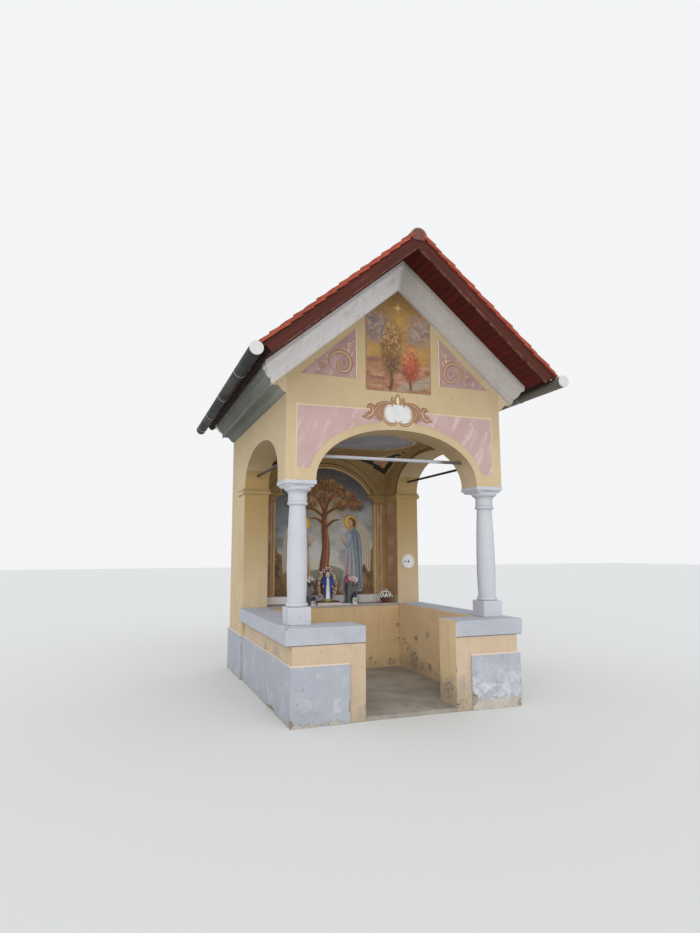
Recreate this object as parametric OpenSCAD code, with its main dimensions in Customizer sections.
/* [Building] */
// width over the walls, side to side
wall_width = 2500; // [2300:10:2800]
// thickness of the side walls
wall_thickness = 317; // [260:1:400]
// thickness of the front wall, front face to back face
front_wall_depth = 330; // [260:1:400]
// thickness of the rear wall behind its pilaster plane
rear_wall_depth = 555; // [400:5:620]
// height of the floor surface above the ground
floor_thickness = 40; // [25:1:60]
// height of the column tops above the floor, where the arches spring
spring_height = 2271; // [2100:1:2400]
// height of the masonry between the front arch's crown and the eaves cornice
masonry_over_arch = 306; // [250:1:360]
// length of the side walls between their arch and the rear pilasters
rear_pier_length = 400; // [320:5:480]

/* [Arches] */
// rise of the front arch
front_arch_rise = 573; // [480:1:640]
// fullness of the front arch, 2 is an ellipse
front_arch_fullness = 2.1; // [2:0.05:2.6]
// free length of each side arch
side_arch_length = 1815; // [1600:5:1950]
// rise of each side arch above the impost bands
side_arch_rise = 461; // [420:1:520]
// fullness of the side arches
side_arch_fullness = 2.15; // [2:0.05:2.6]

/* [Parapet] */
// height of the coping top above the floor
parapet_height = 850; // [780:1:920]
// thickness of the coping
coping_thickness = 163; // [120:1:180]
// width of the entrance between the front blocks
entrance_width = 984; // [850:2:1100]
// how far the front blocks stand before the front wall
block_front = 220; // [160:1:260]
// length of the front blocks behind the front wall's face
block_back = 140; // [120:1:220]
// how far the parapet lies inside the outer wall face
parapet_inset = 25; // [10:1:40]
// coping overhang at the outer sides
coping_side_reach = 66; // [40:1:80]
// coping overhang at the front
coping_front_reach = 9; // [5:1:30]

/* [Socle] */
// height of the rendered socle above the floor
socle_height = 512; // [420:1:560]
// thickness of the rendered socle
socle_thickness = 22; // [15:1:30]
// distance from the entrance edge to the socle's end
socle_margin = 170; // [120:1:240]

/* [Columns] */
// side of the square plinth
plinth_side = 232; // [210:1:250]
// height of the plinth
plinth_height = 170; // [140:1:200]
// distance of the column axis behind the front wall's face
column_setback = 122; // [100:1:165]
// shaft diameter above the base
shaft_foot = 186; // [170:1:200]
// largest shaft diameter, a third of the way up
shaft_belly = 204; // [186:1:215]
// shaft diameter below the neck ring
shaft_top = 164; // [150:1:180]
// height of the capital, neck ring to abacus top
capital_height = 250; // [220:1:280]
// height of the abacus
abacus_height = 66; // [55:1:80]
// how far the abacus stands before the pier on it
abacus_lip = 6; // [2:1:15]

/* [Niche] */
// half width of the recess in the rear wall
niche_half_width = 743; // [650:1:800]
// depth of the recess
niche_depth = 70; // [40:1:120]
// radius of the recess arch
niche_radius = 784; // [750:1:860]
// distance of the recess crown below the vault's edge
niche_crown_drop = 190; // [150:1:230]
// top of the impost bands above the column tops
impost_lift = 112; // [80:1:140]
// height of the impost bands
impost_height = 80; // [60:1:100]
// how far the impost bands stand out
impost_reach = 28; // [15:1:40]
// height of the pilaster caps
cap_height = 135; // [110:1:160]
// how far the pilaster caps reach into the recess
cap_side_reach = 97; // [70:1:120]
// how far the pilaster caps reach before the wall
cap_front_reach = 60; // [40:1:80]
// height of the blocks on the pilaster caps
springer_height = 76; // [50:1:100]
// how far the blocks on the pilaster caps stand out
springer_reach = 25; // [15:1:35]
// distance of the altar front before the rear piers
altar_forward = 35; // [10:1:60]
// thickness of the altar's top slab
altar_slab_height = 32; // [20:1:60]
// height of the sill at the back of the altar
altar_sill_height = 100; // [60:1:130]
// depth of the sill at the back of the altar
altar_sill_depth = 120; // [80:1:160]

/* [Vault] */
// distance of the vault's edge below the eaves cornice, along the walls' middle
vault_edge_drop = 200; // [160:1:240]
// how far the vault's corners lie below the walls' middle
vault_corner_drop = 280; // [220:1:320]
// rise of the vault from the walls' middle to its centre
vault_rise = 35; // [10:1:60]
// thickness of the vault shell
vault_thickness = 80; // [60:1:120]

/* [Tie rods] */
// diameter of the front tie rod
front_tie_diameter = 36; // [25:1:45]
// diameter of the side tie rods
side_tie_diameter = 30; // [22:1:40]
// height of the tie rods above the column tops
tie_lift = 276; // [240:1:310]
// length of each rod end in the masonry
tie_seat = 60; // [40:1:90]

/* [Cornices] */
// reach of the eaves cornice
eaves_reach = 250; // [200:1:280]
// height of the eaves cornice
eaves_cornice_height = 267; // [230:1:300]
// reach of the gable cornice
gable_reach = 160; // [120:1:190]
// depth of the gable cornice, square to the slope
gable_cornice_depth = 214; // [180:1:240]

/* [Roof] */
// pitch of the roof in degrees
roof_pitch = 40.3; // [38:0.1:43]
// roof overhang before the front wall, over the barge boards
front_overhang = 532; // [450:1:600]
// roof overhang behind the rear wall
rear_overhang = 300; // [240:1:400]
// how far the deck passes the eaves cornice, along the slope
eaves_overhang = 45; // [40:1:120]
// thickness of the soffit boards
deck_thickness = 24; // [18:1:30]
// thickness of the counter battens
counter_batten = 40; // [30:1:50]
// thickness of the tile battens
tile_batten = 30; // [24:1:40]
// width of the battens
batten_width = 60; // [45:1:80]
// thickness of one tile
tile_thickness = 18; // [14:1:20]
// length of a tile course that shows
tile_exposure = 149; // [140:1:165]
// how far the tiles pass the deck end
tile_eave_reach = 56; // [50:1:62]
// how far the tiles pass the barge boards
tile_verge_reach = 18; // [10:1:30]
// thickness of the barge boards
barge_thickness = 30; // [22:1:36]
// depth of the barge boards, square to the slope
barge_depth = 106; // [95:1:125]
// how far the barge boards hang below the soffit
barge_drop = 21; // [10:1:30]
// outer radius of the ridge tiles
ridge_radius = 100; // [90:1:110]
// wall of the ridge tiles
ridge_wall = 16; // [12:1:20]
// length of a ridge tile that shows
ridge_pitch = 330; // [300:1:400]
// thickness of the eaves boards
fascia_thickness = 25; // [20:1:28]

/* [Gutters] */
// outer diameter of the gutters
gutter_diameter = 127; // [120:1:132]
// sheet thickness of the gutters
gutter_wall = 3; // [2:0.5:4]
// width of the slot along the top of each gutter
gutter_slot = 60; // [45:1:70]
// how far the gutter's axis lies outside the tiles' lower edge
gutter_lead = 25; // [20:1:30]
// clearance between the gutter's top and the tiles' lower edge
gutter_clearance = 3; // [2:1:8]
// width of the sleeve where two gutter lengths join
gutter_sleeve = 36; // [25:1:45]
// how far the gutters pass the roof's ends
gutter_reach = 75; // [50:1:90]
// width of a gutter bracket
bracket_width = 28; // [20:1:35]
// thickness of a gutter bracket's strap
bracket_strap = 4; // [3:0.5:6]

/* [Fittings] */
// diameter of the round wall cover
disc_diameter = 200; // [170:1:220]
// height of the wall cover's middle above the floor
disc_height = 1418; // [1300:1:1500]
// height of the statuette
statuette_height = 430; // [380:1:460]
// distance of the statuette to the left of the middle
statuette_offset = 105; // [80:1:130]
// thickness of the board below the statuette
statuette_board = 14; // [8:1:20]
// distance between the middles of the two vases
vase_spacing = 645; // [600:5:700]
// distance of the vases behind the altar's front edge
vase_inset = 90; // [82:1:100]
// width of a vase
vase_width = 130; // [110:1:145]
// height of a vase
vase_height = 250; // [220:1:280]
// diameter of a lantern
lantern_diameter = 76; // [60:1:90]
// diameter of the flower bowl
bowl_diameter = 150; // [130:1:180]
// distance of the flower bowl's middle from the right wall
bowl_wall_distance = 163; // [110:1:200]
// distance of the flower bowl's middle behind the altar's front edge
bowl_inset = 120; // [100:5:140]

/* [Hidden] */
$fn = 48;
fz = floor_thickness;
half_width = wall_width / 2;
inner_half = half_width - wall_thickness;
jamb = front_wall_depth + side_arch_length;
niche_plane = jamb + rear_pier_length;
back = niche_plane + rear_wall_depth;
// the whole is set back so that the roof's middle lies on the frame's origin
shift = (back + rear_overhang - front_overhang) / 2;
spring = fz + spring_height;
impost_top = spring + impost_lift;
impost_base = impost_top - impost_height;
tie_axis = spring + tie_lift;
eaves = spring + front_arch_rise + masonry_over_arch;
vault_edge = eaves - vault_edge_drop;
niche_crown = vault_edge - niche_crown_drop;
cornice_x = half_width + eaves_reach;
slope_length = cornice_x / cos(roof_pitch) + eaves_overhang;
ridge_z = eaves + eaves_cornice_height + cornice_x * tan(roof_pitch);
parapet_outer = half_width - parapet_inset;
parapet_top = fz + parapet_height;
coping_base = parapet_top - coping_thickness;
column_x = half_width - wall_thickness / 2;
capital_base = spring - capital_height;
altar_front = jamb - altar_forward;
batten_top = deck_thickness + counter_batten + tile_batten;
tile_top = batten_top + 2 * tile_thickness;
eave_lift = 32;
ridge_axis = ridge_z + tile_top / cos(roof_pitch)
    - (ridge_radius - ridge_wall / 2) * tan(roof_pitch);
roof_front = -front_overhang;
roof_rear = back + rear_overhang;
bed_length = roof_rear - roof_front - 2 * barge_thickness;
tile_front = roof_front - tile_verge_reach;
tile_length = roof_rear - roof_front + 2 * tile_verge_reach;
gutter_front = roof_front - gutter_reach;
gutter_length = roof_rear - roof_front + 2 * gutter_reach;
// the tiles' lower edge: along the slope, square to it, and in X and Z
edge_along = slope_length + tile_eave_reach;
edge_up = batten_top + eave_lift;
gutter_radius = gutter_diameter / 2;
gutter_x = edge_along * cos(roof_pitch) + edge_up * sin(roof_pitch) + gutter_lead;
gutter_z = ridge_z - edge_along * sin(roof_pitch) + edge_up * cos(roof_pitch)
    - gutter_clearance - gutter_radius;
gutter_joint = 0.15;
bracket_rows = [0.18, 0.455, 0.725, 0.955];
fit = 0.2;
past_ridge = 200;
beyond = 2 * wall_width;
plaster = [0.87, 0.74, 0.48];
grey = [0.66, 0.66, 0.64];
white = [0.9, 0.9, 0.88];

// moves a piece from the front wall's face to the frame's origin
module placed() {
    translate([0, -shift, 0]) children();
}

// a block between two corners
module block(low, high) {
    translate(low) cube(high - low);
}

// draws a piece on the right, or mirrored on the left
module on_side(side) {
    if (side > 0) children();
    else mirror([1, 0, 0]) children();
}

// points of an arch from its right springing to its left one
function arch_points(half, rise, fullness, steps) = [for (i = [0:steps])
    let (a = 180 * i / steps, k = 2 / fullness, c = cos(a))
        [half * (c < 0 ? -1 : 1) * pow(abs(c), k), rise * pow(sin(a), k)]];

// an upright outline in X and Z, run along Y
module along_y(from, to) {
    translate([0, to, 0]) rotate([90, 0, 0]) linear_extrude(to - from) children();
}

// an upright outline in Y and Z, run along X
module along_x(from, to) {
    translate([from, 0, 0]) rotate([90, 0, 90]) linear_extrude(to - from) children();
}

// a piece of the right slope: first along the slope, second square to it
module on_slope(from, to) {
    along_y(from, to) translate([0, ridge_z]) rotate(-roof_pitch) children();
}

// the right half of the space beside the middle plane
module right_half() {
    block([0, roof_front - past_ridge, 0], [beyond, roof_rear + past_ridge, 2 * ridge_z]);
}

module gable_outline() {
    polygon(concat(
        [[-half_width, ridge_z - half_width * tan(roof_pitch)], [-half_width, spring]],
        [for (p = arch_points(-inner_half, front_arch_rise, front_arch_fullness, 24))
            p + [0, spring]],
        [[half_width, spring], [half_width, ridge_z - half_width * tan(roof_pitch)],
            [0, ridge_z]]));
}

module front_tie_space(gap) {
    reach = tie_reach() + gap;
    translate([-reach, front_wall_depth / 2, tie_axis])
        rotate([0, 90, 0]) cylinder(d = front_tie_diameter + 2 * gap, h = 2 * reach);
}

function arch_at(half, rise, fullness, height) =
    half * pow(1 - pow(height / rise, fullness), 1 / fullness);

function tie_reach() = arch_at(inner_half, front_arch_rise, front_arch_fullness, tie_lift)
    + tie_seat;

module front_wall() {
    color(plaster) placed() difference() {
        along_y(0, front_wall_depth) gable_outline();
        front_tie_space(fit);
    }
}

function side_tie_reach() = arch_at(side_arch_length / 2, side_arch_rise,
    side_arch_fullness, tie_axis - impost_top) + tie_seat;

module side_tie(gap) {
    reach = side_tie_reach() + gap;
    translate([column_x, front_wall_depth + side_arch_length / 2 + reach, tie_axis])
        rotate([90, 0, 0]) cylinder(d = side_tie_diameter + 2 * gap, h = 2 * reach);
}

module side_wall() {
    difference() {
        along_y(front_wall_depth, niche_plane) polygon([[inner_half, 0], [half_width, 0],
            [half_width, ridge_z - half_width * tan(roof_pitch)],
            [inner_half, ridge_z - inner_half * tan(roof_pitch)]]);
        along_x(inner_half - 1, half_width + 1) translate([jamb - side_arch_length / 2, 0])
            polygon(concat([[-side_arch_length / 2 - 1, spring],
                [-side_arch_length / 2 - 1, -1], [side_arch_length / 2, -1]],
                [for (p = arch_points(side_arch_length / 2, side_arch_rise,
                    side_arch_fullness, 24)) p + [0, impost_top]],
                [[-side_arch_length / 2, spring]]));
        side_tie(fit);
    }
}

module left_wall() {
    color(plaster) placed() on_side(-1) side_wall();
}

module right_wall() {
    color(plaster) placed() on_side(1) side_wall();
}

module niche_outline() {
    axis_z = niche_crown - niche_radius;
    rise = impost_top - axis_z;
    half = sqrt(niche_radius * niche_radius - rise * rise);
    start = acos(half / niche_radius);
    polygon(concat([[-niche_half_width, impost_top], [-niche_half_width, parapet_top],
        [niche_half_width, parapet_top], [niche_half_width, impost_top]],
        [for (i = [0:20]) let (a = start + (180 - 2 * start) * i / 20)
            [niche_radius * cos(a), axis_z + niche_radius * sin(a)]]));
}

module rear_wall() {
    color(plaster) placed() difference() {
        along_y(niche_plane, back) polygon([[-half_width, 0], [half_width, 0],
            [half_width, ridge_z - half_width * tan(roof_pitch)], [0, ridge_z],
            [-half_width, ridge_z - half_width * tan(roof_pitch)]]);
        along_y(niche_plane - 1, niche_plane + niche_depth) niche_outline();
    }
}

module floor_slab() {
    color(grey) placed() union() {
        block([-inner_half, block_back, 0], [inner_half, altar_front, fz]);
        block([-entrance_width / 2, -block_front, 0], [entrance_width / 2, block_back, fz]);
    }
}

module parapet() {
    block([entrance_width / 2, -block_front, 0], [parapet_outer, block_back, coping_base]);
    block([inner_half, block_back, 0], [parapet_outer, jamb, coping_base]);
}

module left_parapet() {
    color(plaster) placed() on_side(-1) parapet();
}

module right_parapet() {
    color(plaster) placed() on_side(1) parapet();
}

module coping() {
    outer = parapet_outer + coping_side_reach;
    block([entrance_width / 2, -block_front - coping_front_reach, coping_base],
        [outer, block_back, parapet_top]);
    block([inner_half, block_back, coping_base], [outer, jamb, parapet_top]);
}

module left_coping() {
    color(grey) placed() on_side(-1) coping();
}

module right_coping() {
    color(grey) placed() on_side(1) coping();
}

// the outline of a socle: full thickness with a sloped top edge
module socle_section() {
    polygon([[0, 0], [socle_thickness, 0], [socle_thickness, fz + socle_height - 14],
        [6, fz + socle_height], [0, fz + socle_height]]);
}

module side_socle() {
    inner = entrance_width / 2 + socle_margin;
    // front panel
    mirror([0, 1, 0]) translate([0, block_front, 0])
        along_x(inner, parapet_outer + socle_thickness) socle_section();
    // side band below the parapet
    along_y(-block_front, jamb) translate([parapet_outer, 0]) socle_section();
    // side band below the rear wall
    along_y(jamb, back) translate([half_width, 0]) socle_section();
}

module left_socle() {
    color(grey) placed() on_side(-1) side_socle();
}

module right_socle() {
    color(grey) placed() on_side(1) side_socle();
}

module rear_socle() {
    color(grey) placed() translate([0, back, 0])
        along_x(-half_width - socle_thickness, half_width + socle_thickness) socle_section();
}

module at_column(side, height) {
    placed() translate([side * column_x, column_setback, height]) children();
}

module plinth() {
    translate([-plinth_side / 2, -plinth_side / 2, 0])
        cube([plinth_side, plinth_side, plinth_height]);
}

module left_plinth() {
    color(white) at_column(-1, parapet_top) plinth();
}

module right_plinth() {
    color(white) at_column(1, parapet_top) plinth();
}

// radius of the swelling shaft at a share of its height
function shaft_radius(t) = t < 0.33
    ? (shaft_foot + (shaft_belly - shaft_foot) * sin(90 * t / 0.33)) / 2
    : (shaft_belly - (shaft_belly - shaft_top) * pow((t - 0.33) / 0.67, 1.8)) / 2;

module shaft() {
    base = 47;
    height = capital_base - parapet_top - plinth_height;
    torus = base / 2 - 4;
    rotate_extrude() polygon(concat([[0, 0], [plinth_side / 2 - 5 - torus, 0]],
        [for (i = [0:8]) let (a = -90 + 180 * i / 8)
            [plinth_side / 2 - 5 - torus + torus * cos(a), torus + torus * sin(a)]],
        [[shaft_foot / 2 + 5, 2 * torus], [shaft_foot / 2 + 5, base]],
        [for (i = [0:14]) [shaft_radius(i / 14), base + (height - base) * i / 14]],
        [[0, height]]));
}

module left_shaft() {
    color(white) at_column(-1, parapet_top + plinth_height) shaft();
}

module right_shaft() {
    color(white) at_column(1, parapet_top + plinth_height) shaft();
}

// the abacus in elevation: a hollow moulding below a flat edge
module abacus_section(low, high) {
    step = 26;
    polygon([[low + step, 0], [high - step, 0], [high - step + 4, 12],
        [high - step + 13, 24], [high, 30], [high, abacus_height],
        [low, abacus_height], [low, 30], [low + step - 13, 24], [low + step - 4, 12]]);
}

module capital() {
    neck = shaft_top / 2 + 13;
    bell = capital_height - abacus_height;
    x0 = column_x - wall_thickness / 2 - abacus_lip;
    rotate_extrude() polygon(concat([[0, 0], [shaft_top / 2, 0]],
        [for (i = [0:8]) let (a = -90 + 180 * i / 8)
            [shaft_top / 2 + 8 + 14 * cos(a), 20 + 18 * sin(a)]],
        [[neck, 40], [neck, bell - 62], [neck + 8, bell - 58], [neck + 8, bell - 44]],
        [for (i = [0:6]) [neck + 8 + 36 * sin(15 * i), bell - 44 + 38 * (1 - cos(15 * i))]],
        [[neck + 44, bell], [0, bell]]));
    intersection() {
        translate([-column_x, 0, bell]) along_y(-beyond, beyond)
            abacus_section(x0, half_width + abacus_lip);
        translate([0, -column_setback, bell]) along_x(-beyond, beyond)
            abacus_section(-abacus_lip, front_wall_depth + abacus_lip);
    }
}

module left_capital() {
    color(white) placed() on_side(-1) translate([column_x, column_setback, capital_base]) capital();
}

module right_capital() {
    color(white) placed() on_side(1) translate([column_x, column_setback, capital_base]) capital();
}

// the impost band in section, over a wall from low to high: a roll below a flat fillet
module impost_section(low, high) {
    fillet = 0.16 * impost_height;
    roll = (impost_height - fillet) / 2;
    edge = impost_reach - roll;
    polygon(concat([[low, 0]],
        [for (i = [0:8]) let (a = -90 + 22.5 * i)
            [high + edge + roll * cos(a), roll + roll * sin(a)]],
        [[high + 0.7 * impost_reach, 2 * roll], [high + 0.7 * impost_reach, impost_height],
            [low, impost_height]]));
}

// the impost band that wraps a pier and stops inside against the pilaster cap
module jamb_impost() {
    difference() {
        translate([0, 0, impost_base]) intersection() {
            along_y(0, niche_plane) union() {
                impost_section(column_x, half_width);
                mirror([1, 0]) impost_section(-column_x, -inner_half);
            }
            along_x(0, beyond) mirror([1, 0]) impost_section(-niche_plane, -jamb);
        }
        block([inner_half, jamb, 0], [half_width, back, ridge_z]);
        block([0, niche_plane - cap_front_reach, 0], [inner_half, back, ridge_z]);
    }
}

module jamb_imposts() {
    color(plaster) placed() {
        on_side(1) jamb_impost();
        on_side(-1) jamb_impost();
    }
}

// half a pilaster cap in section, as far as it reaches over the pilaster and upwards:
// a neck ring, a hollow moulding, a flat edge and the block that the arch stands on
module cap_section(reach, body) {
    ring = 9;
    neck = cap_height * 0.3;
    bell = cap_height * 0.72;
    polygon(concat([[body, 0]],
        [for (i = [0:6]) let (a = -90 + 30 * i) [-ring * (1 + cos(a)), ring + ring * sin(a)]],
        [for (i = [0:6]) [-ring - (reach - ring) * (1 - cos(15 * i)),
            neck + (bell - neck) * sin(15 * i)]],
        [[-reach, bell], [-reach, 0.94 * cap_height], [-reach + 8, cap_height],
            [-springer_reach, cap_height], [-springer_reach, cap_height + springer_height],
            [body, cap_height + springer_height]]));
}

module pilaster_cap() {
    foot = impost_top - cap_height;
    difference() {
        intersection() {
            translate([0, niche_plane, foot]) along_x(0, inner_half)
                cap_section(cap_front_reach, niche_depth);
            translate([niche_half_width, 0, foot]) along_y(niche_plane - beyond, back)
                cap_section(cap_side_reach, inner_half - niche_half_width);
        }
        block([niche_half_width, niche_plane, 0], [half_width, back, ridge_z]);
        block([0, niche_plane, impost_top], [half_width, back, ridge_z]);
    }
}

module pilaster_caps() {
    color(plaster) placed() {
        on_side(1) pilaster_cap();
        on_side(-1) pilaster_cap();
    }
}

module altar_block() {
    color(plaster) placed() block([-inner_half, altar_front, 0],
        [inner_half, niche_plane, parapet_top - altar_slab_height]);
}

module altar_top() {
    color(grey) placed() union() {
        block([-inner_half, altar_front, parapet_top - altar_slab_height],
            [inner_half, niche_plane, parapet_top]);
        block([-niche_half_width, niche_plane - altar_sill_depth, parapet_top],
            [niche_half_width, niche_plane + niche_depth, parapet_top + altar_sill_height]);
        block([-inner_half, niche_plane - altar_sill_depth, parapet_top],
            [inner_half, niche_plane, parapet_top + altar_sill_height]);
    }
}

// height of the vault's underside at shares of its half width and half length
function vault_height(a, b) = vault_edge - vault_corner_drop * a * a * b * b
    + vault_rise * (1 - a * a) * (1 - b * b);

module vault() {
    n = 14;
    mid = (front_wall_depth + niche_plane) / 2;
    half_length = (niche_plane - front_wall_depth) / 2;
    under = [for (j = [0:n]) for (i = [0:n]) let (a = 2 * i / n - 1, b = 2 * j / n - 1)
        [a * inner_half, mid + b * half_length, vault_height(a, b)]];
    over = [for (p = under) p + [0, 0, vault_thickness]];
    m = n + 1;
    count = m * m;
    color(plaster) placed() polyhedron(points = concat(under, over), faces = concat(
        [for (j = [0:n - 1]) for (i = [0:n - 1]) for (t = [0, 1]) let (k = j * m + i)
            t == 0 ? [k, k + 1, k + m + 1] : [k, k + m + 1, k + m]],
        [for (j = [0:n - 1]) for (i = [0:n - 1]) for (t = [0, 1]) let (k = count + j * m + i)
            t == 0 ? [k, k + m + 1, k + 1] : [k, k + m, k + m + 1]],
        [for (i = [0:n - 1]) [i, i + count, i + 1 + count, i + 1]],
        [for (i = [0:n - 1]) let (k = n * m + i) [k, k + 1, k + 1 + count, k + count]],
        [for (j = [0:n - 1]) let (k = j * m) [k, k + m, k + m + count, k + count]],
        [for (j = [0:n - 1]) let (k = j * m + n) [k, k + count, k + m + count, k + m]]));
}

module front_tie() {
    color([0.6, 0.6, 0.62]) placed() front_tie_space(0);
}

module side_ties() {
    color([0.1, 0.1, 0.1]) placed() {
        on_side(1) side_tie(0);
        on_side(-1) side_tie(0);
    }
}

// the lower outline of the eaves cornice, outwards from the wall and upwards
function eaves_outline() = [for (p = [[0, 0], [0.09, 0.03], [0.17, 0.08], [0.24, 0.17],
    [0.25, 0.2], [0.3, 0.21], [0.32, 0.26], [0.6, 0.27], [0.6, 0.23], [0.66, 0.23],
    [0.66, 0.45], [0.69, 0.5], [0.75, 0.54], [0.81, 0.58], [0.86, 0.64], [0.89, 0.72],
    [0.92, 0.78], [0.96, 0.8], [0.96, 0.82], [1, 0.82]])
    [p[0] * eaves_reach, p[1] * eaves_cornice_height]];

module eaves_section() {
    polygon(concat(eaves_outline(), [[eaves_reach, eaves_cornice_height],
        [0, eaves_cornice_height + eaves_reach * tan(roof_pitch)]]));
}

module eaves_cornice() {
    along_y(0, back) translate([half_width, eaves]) eaves_section();
}

module left_cornice() {
    color(grey) placed() on_side(-1) eaves_cornice();
}

module right_cornice() {
    color(grey) placed() on_side(1) eaves_cornice();
}

// half of the gable cornice, as it runs down the right slope before the wall
module gable_cornice_half() {
    d = gable_cornice_depth;
    r = gable_reach;
    intersection() {
        translate([0, 0, ridge_z]) rotate([0, roof_pitch, 0])
            along_x(-2 * d, slope_length) polygon([[0, 0], [-r, 0], [-r, -0.16 * d],
                [-0.93 * r, -0.17 * d], [-0.93 * r, -0.2 * d], [-0.8 * r, -0.26 * d],
                [-0.66 * r, -0.36 * d], [-0.56 * r, -0.5 * d], [-0.5 * r, -0.62 * d],
                [-0.42 * r, -0.72 * d], [-0.3 * r, -0.79 * d], [-0.27 * r, -0.8 * d],
                [-0.27 * r, -0.93 * d], [-0.2 * r, -0.97 * d], [0, -d]]);
        along_y(-r, 0) translate([half_width, eaves])
            polygon(concat([[-half_width, 0]], eaves_outline(),
                [[eaves_reach, ridge_z], [-half_width, ridge_z]]));
    }
}

module front_gable_cornice() {
    color(white) placed() union() {
        on_side(1) gable_cornice_half();
        on_side(-1) gable_cornice_half();
    }
}

module rear_gable_cornice() {
    color(white) placed() translate([0, back, 0]) mirror([0, 1, 0]) union() {
        on_side(1) gable_cornice_half();
        on_side(-1) gable_cornice_half();
    }
}

module deck() {
    intersection() {
        on_slope(roof_front + barge_thickness, roof_rear - barge_thickness)
            translate([-past_ridge, 0]) square([slope_length + past_ridge, deck_thickness]);
        right_half();
    }
}

module left_deck() {
    color([0.35, 0.12, 0.08]) placed() on_side(-1) deck();
}

module right_deck() {
    color([0.35, 0.12, 0.08]) placed() on_side(1) deck();
}

module batten_set() {
    rows = floor((slope_length - batten_width) / tile_exposure);
    intersection() {
        union() {
            for (k = [0:4])
                translate([0, (bed_length - batten_width) * k / 4, 0])
                    on_slope(roof_front + barge_thickness, roof_front + barge_thickness
                        + batten_width) translate([30, deck_thickness])
                        square([slope_length - 30, counter_batten]);
            for (k = [0:rows])
                on_slope(roof_front + barge_thickness, roof_rear - barge_thickness)
                    translate([slope_length - batten_width - k * tile_exposure,
                        deck_thickness + counter_batten]) square([batten_width, tile_batten]);
        }
        right_half();
    }
}

module battens() {
    color([0.5, 0.38, 0.24]) placed() {
        on_side(1) batten_set();
        on_side(-1) batten_set();
    }
}

// the tiles of one slope in section: courses that step down to the eaves
module tile_section() {
    courses = ceil((edge_along + past_ridge) / tile_exposure);
    polygon(concat([[-past_ridge, batten_top], [slope_length - batten_width, batten_top],
        [slope_length + 4, edge_up], [edge_along, edge_up]],
        [for (k = [0:courses - 1]) for (t = [0, 1])
            [edge_along - (k + t) * tile_exposure,
                t == 0 ? tile_top + tile_thickness : tile_top]],
        [[-past_ridge, tile_top]]));
}

module tiles() {
    difference() {
        intersection() {
            on_slope(tile_front, tile_front + tile_length) tile_section();
            right_half();
        }
        block([-1, tile_front - 1, ridge_axis],
            [ridge_radius + fit, tile_front + tile_length + 1, ridge_axis + 300]);
    }
}

module left_tiles() {
    color([0.7, 0.22, 0.12]) placed() on_side(-1) tiles();
}

module right_tiles() {
    color([0.7, 0.22, 0.12]) placed() on_side(1) tiles();
}

module ridge_tiles() {
    count = floor(tile_length / ridge_pitch);
    color([0.45, 0.3, 0.24]) placed() translate([0, tile_front + tile_length, ridge_axis])
        difference() {
            rotate([90, 0, 0]) union() {
                cylinder(r = ridge_radius - 5, h = tile_length);
                for (k = [0:count - 1])
                    translate([0, 0, tile_length - (k + 0.16) * tile_length / count - 0.5])
                        cylinder(r = ridge_radius, h = 0.16 * tile_length / count);
            }
            translate([0, 1, 0]) rotate([90, 0, 0])
                cylinder(r = ridge_radius - ridge_wall, h = tile_length + 2);
            block([-2 * ridge_radius, -tile_length - 1, -2 * ridge_radius],
                [2 * ridge_radius, 1, 0]);
        }
}

module barge_half() {
    intersection() {
        on_slope(0, barge_thickness) translate([-past_ridge, -barge_drop])
            square([slope_length + past_ridge, barge_depth]);
        right_half();
    }
}

module barge_boards() {
    color([0.36, 0.14, 0.1]) placed() {
        for (y = [roof_front, roof_rear - barge_thickness]) translate([0, y, 0]) {
            on_side(1) barge_half();
            on_side(-1) barge_half();
        }
    }
}

module eaves_board() {
    on_slope(roof_front + barge_thickness, roof_rear - barge_thickness)
        translate([slope_length, -6]) square([fascia_thickness, batten_top]);
}

module eaves_boards() {
    color([0.2, 0.09, 0.06]) placed() {
        on_side(1) eaves_board();
        on_side(-1) eaves_board();
    }
}

// an eaves gutter with closed ends and a sleeve where its two lengths join
module gutter() {
    r = gutter_radius;
    cap = gutter_wall + 5;
    translate([gutter_x, gutter_front + gutter_length, gutter_z]) rotate([90, 0, 0])
        difference() {
            union() {
                cylinder(r = r, h = gutter_length);
                for (z = [0, gutter_length - cap]) translate([0, 0, z])
                    cylinder(r = r + 2, h = cap);
                translate([0, 0, gutter_joint * gutter_length])
                    cylinder(r = r + 2, h = gutter_sleeve);
            }
            translate([0, 0, gutter_wall])
                cylinder(r = r - gutter_wall, h = gutter_length - 2 * gutter_wall);
            block([-gutter_slot / 2, 0, cap],
                [gutter_slot / 2, 2 * r, gutter_length - cap]);
        }
}

module left_gutter() {
    color([0.3, 0.3, 0.3]) placed() on_side(-1) gutter();
}

module right_gutter() {
    color([0.3, 0.3, 0.3]) placed() on_side(1) gutter();
}

// a strap below the gutter, on an arm from the eaves board
module bracket() {
    r = gutter_radius;
    along = gutter_x * cos(roof_pitch) + (ridge_z - gutter_z) * sin(roof_pitch);
    up = gutter_x * sin(roof_pitch) - (ridge_z - gutter_z) * cos(roof_pitch);
    board_face = slope_length + fascia_thickness;
    difference() {
        union() {
            difference() {
                translate([gutter_x, bracket_width, gutter_z]) rotate([90, 0, 0])
                    cylinder(r = r + bracket_strap, h = bracket_width);
                block([gutter_x - 2 * r, -1, gutter_z + 0.4 * r],
                    [gutter_x + 2 * r, bracket_width + 1, gutter_z + 2 * r]);
            }
            on_slope(0, bracket_width) translate([board_face, up - 0.75 * r])
                square([along - board_face, 2 * bracket_strap]);
        }
        translate([gutter_x, bracket_width + 1, gutter_z])
            rotate([90, 0, 0]) cylinder(r = r + fit / 4, h = bracket_width + 2);
    }
}

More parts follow.
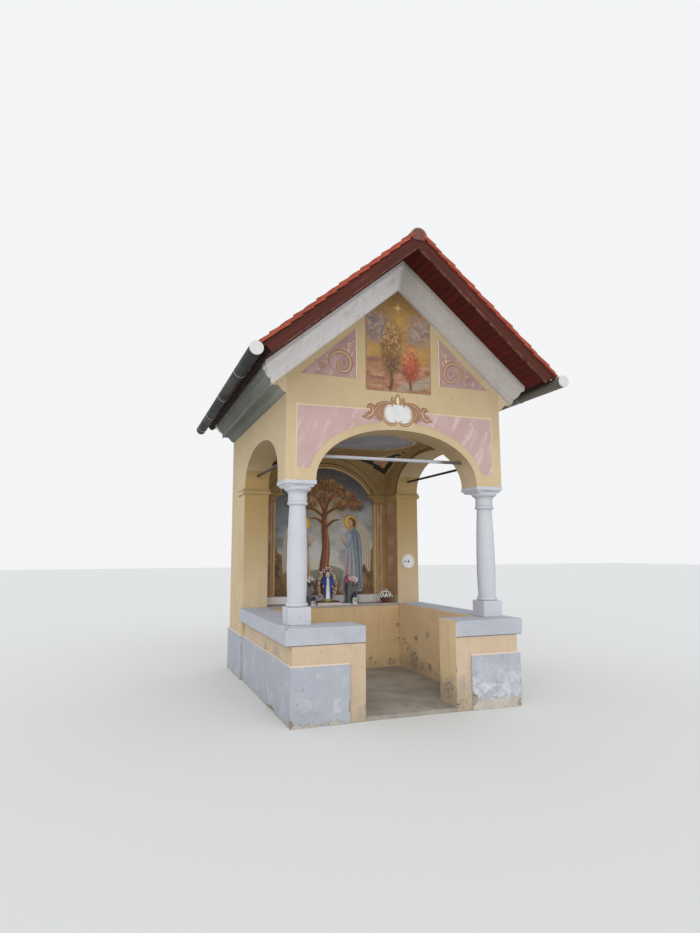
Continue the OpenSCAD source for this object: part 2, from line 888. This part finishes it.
module gutter_brackets() {
    color([0.35, 0.35, 0.35]) placed() {
        for (s = [-1, 1]) on_side(s) for (t = bracket_rows)
            translate([0, roof_front + t * (roof_rear - roof_front), 0]) bracket();
    }
}

module wall_cover() {
    color(white) placed() translate([column_x, jamb, fz + disc_height]) rotate([90, 0, 0])
        difference() {
            union() {
                cylinder(d = disc_diameter, h = 8);
                cylinder(d = disc_diameter * 0.86, h = 14);
                cylinder(d = disc_diameter * 0.2, h = 18);
            }
            translate([-disc_diameter * 0.28, 0, 6]) cylinder(d = 14, h = 20);
            translate([0, 0, 12]) cylinder(d = 14, h = 20);
        }
}

// a robed standing figure with a cloak, on a round foot
module figure() {
    h = statuette_height;
    rotate_extrude() polygon([[0, 0], [0.15 * h, 0], [0.16 * h, 0.02 * h],
        [0.15 * h, 0.05 * h], [0.11 * h, 0.08 * h], [0.1 * h, 0.2 * h], [0.085 * h, 0.42 * h],
        [0.1 * h, 0.6 * h], [0.115 * h, 0.72 * h], [0.1 * h, 0.79 * h], [0.045 * h, 0.83 * h],
        [0, 0.84 * h]]);
    translate([0, 0, 0.9 * h]) sphere(0.07 * h);
    difference() {
        rotate_extrude() polygon([[0, 0.07 * h], [0.145 * h, 0.07 * h], [0.14 * h, 0.3 * h],
            [0.12 * h, 0.5 * h], [0.135 * h, 0.68 * h], [0.12 * h, 0.8 * h],
            [0.09 * h, 0.86 * h], [0.092 * h, 0.93 * h], [0.05 * h, 0.985 * h], [0, h]]);
        block([-0.06 * h, -h, 0], [0.06 * h, -0.02 * h, 0.84 * h]);
        block([-h, -h, 0.83 * h], [h, -0.02 * h, 2 * h]);
    }
}

// an arch of flowers round the figure: an oval ring on two feet
module garland() {
    half = statuette_height * 0.34;
    height = statuette_height * 1.16;
    thick = statuette_height * 0.11;
    along_y(statuette_height * 0.1, statuette_height * 0.2) difference() {
        polygon(arch_points(half, height, 1.9, 24));
        polygon(arch_points(half - thick, height - thick, 1.9, 24));
    }
}

module statuette() {
    h = statuette_height;
    color([0.75, 0.8, 0.9]) placed()
        translate([-statuette_offset, altar_front + 0.26 * h, parapet_top]) {
            block([-0.38 * h, -0.18 * h, 0], [0.38 * h, 0.22 * h, statuette_board]);
            translate([0, 0, statuette_board]) union() {
                figure();
                garland();
            }
        }
}

// a square stone vase with a pointed niche in its front and a hollow for flowers
module vase() {
    w = vase_width;
    wall = 12;
    difference() {
        translate([-w / 2, 0, 0]) cube([w, w, vase_height]);
        translate([wall - w / 2, wall, vase_height * 0.62])
            cube([w - 2 * wall, w - 2 * wall, vase_height]);
        along_y(-1, w * 0.3) translate([0, vase_height * 0.12]) intersection() {
            translate([-w * 0.28, 0]) square([w * 0.56, vase_height * 0.5]);
            translate([w * 0.28, vase_height * 0.1]) circle(w * 0.56);
            translate([-w * 0.28, vase_height * 0.1]) circle(w * 0.56);
        }
    }
}

module vases() {
    color([0.45, 0.46, 0.48]) placed() for (side = [-1, 1])
        translate([(side * vase_spacing - statuette_offset) / 2, altar_front + vase_inset,
            parapet_top]) vase();
}

// a small grave lantern with a domed lid
module lantern() {
    r = lantern_diameter / 2;
    rotate_extrude() polygon([[0, 0], [0.9 * r, 0], [0.9 * r, 0.3 * r], [0.75 * r, 0.4 * r],
        [0.72 * r, 2 * r], [r, 2.1 * r], [0.9 * r, 2.4 * r], [0.45 * r, 2.8 * r],
        [0.3 * r, 3 * r], [0, 3.05 * r]]);
}

module lanterns() {
    color([0.25, 0.2, 0.4]) placed() for (side = [-1, 1])
        translate([(side * vase_spacing - statuette_offset) / 2
            + (0.35 - 0.22 * side) * vase_width, altar_front + vase_inset / 2,
            parapet_top]) lantern();
}

module flower_bowl() {
    r = bowl_diameter / 2;
    color([0.5, 0.2, 0.12]) placed()
        translate([inner_half - bowl_wall_distance, altar_front + bowl_inset, parapet_top])
        rotate_extrude() polygon([[0, 0], [r * 0.7, 0], [r, r * 0.8], [r - 5, r * 0.8],
            [r * 0.7 - 5, 6], [0, 6]]);
}

floor_slab();
left_parapet();
right_parapet();
left_coping();
right_coping();
left_socle();
right_socle();
rear_socle();
left_plinth();
right_plinth();
left_shaft();
right_shaft();
left_capital();
right_capital();
front_wall();
left_wall();
right_wall();
rear_wall();
jamb_imposts();
pilaster_caps();
altar_block();
altar_top();
vault();
front_tie();
side_ties();
left_cornice();
right_cornice();
front_gable_cornice();
rear_gable_cornice();
left_deck();
right_deck();
battens();
left_tiles();
right_tiles();
ridge_tiles();
barge_boards();
eaves_boards();
left_gutter();
right_gutter();
gutter_brackets();
wall_cover();
statuette();
vases();
lanterns();
flower_bowl();
